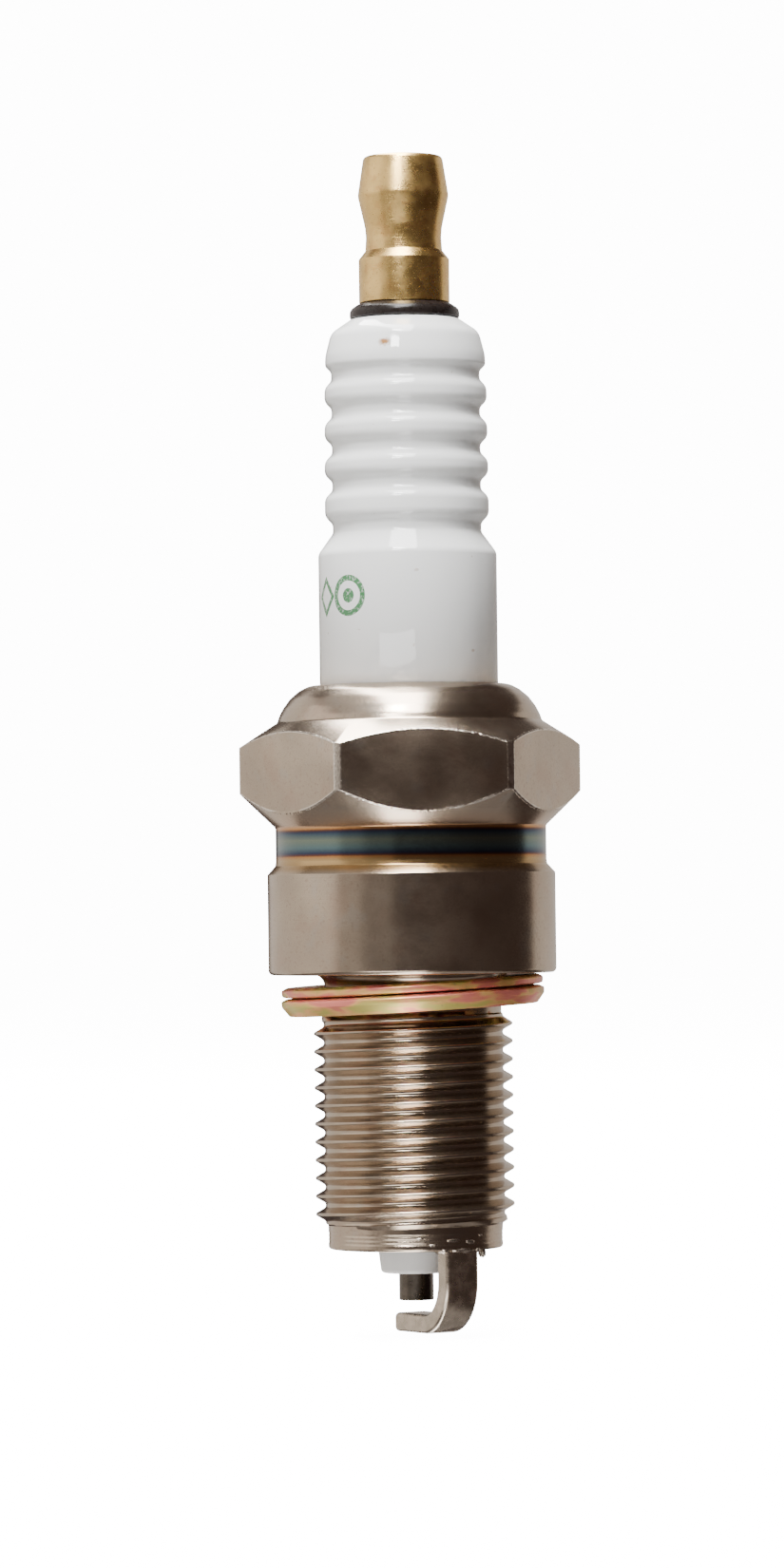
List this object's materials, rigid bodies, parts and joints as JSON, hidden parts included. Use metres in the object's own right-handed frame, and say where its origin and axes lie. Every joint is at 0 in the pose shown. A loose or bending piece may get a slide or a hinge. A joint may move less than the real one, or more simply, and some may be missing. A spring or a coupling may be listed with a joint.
{
  "type": "spark plug",
  "caption": "Resistor spark plug with ribbed white insulator, hexagon shell, long fine thread, folded crush gasket, projected nose, side electrode and screw-on terminal nut.",
  "frame": {"origin": "centre of the shell's gasket seat, in the seat's plane", "axes": "+Z along the plug's axis from the seat to the terminal nut; two flats of the hexagon face -Y, the front, and +Y"},
  "size_m": [0.0238, 0.0208, 0.0815],
  "materials": {
    "nickel_plated_steel": "satin",
    "glazed_alumina": "gloss",
    "washer_steel": "satin",
    "talc": "matte",
    "copper": "satin",
    "electrode_nickel": "satin",
    "seal_glass": "satin",
    "resistor_glass": "matte",
    "stud_steel": "satin",
    "o_ring_rubber": "satin",
    "nut_brass": "satin",
    "weld_metal": "satin",
    "gasket_plating": "satin"
  },
  "bodies": {
    "plug_body": {"shell": "nickel_plated_steel", "insulator": "glazed_alumina", "seat_gasket": "washer_steel", "lower_packing_ring": "washer_steel", "upper_packing_ring": "washer_steel", "talc_packing": "talc", "electrode_copper_core": "copper", "centre_electrode": "electrode_nickel", "lower_glass_seal": "seal_glass", "upper_glass_seal": "seal_glass", "resistor": "resistor_glass", "terminal_stud": "stud_steel", "ground_electrode": "electrode_nickel", "electrode_weld": "weld_metal"},
    "loose_gasket": {"crush_gasket": "gasket_plating"},
    "lifting_ring": {"terminal_o_ring": "o_ring_rubber"},
    "turning_nut": {"terminal_nut": "nut_brass"}
  },
  "joints": [
    {"name": "gasket_rock", "type": "hinge", "parent": "plug_body", "child": "loose_gasket", "pos_m": [0, 0, -0.00149], "axis": [0, 1, 0], "range_deg": [0, 5.5]},
    {"name": "nut_lift", "type": "slide", "parent": "plug_body", "child": "lifting_ring", "axis": [0, 0, 1], "range_m": [0, 0.0084]},
    {"name": "nut_turn", "type": "hinge", "parent": "lifting_ring", "child": "turning_nut", "pos_m": [0, 0, 0.0466], "axis": [0, 0, 1], "range_deg": [0, 4320]}
  ],
  "couplings": [
    {"joint": "nut_turn", "follows": "nut_lift", "rad_per_m": 8976}
  ]
}
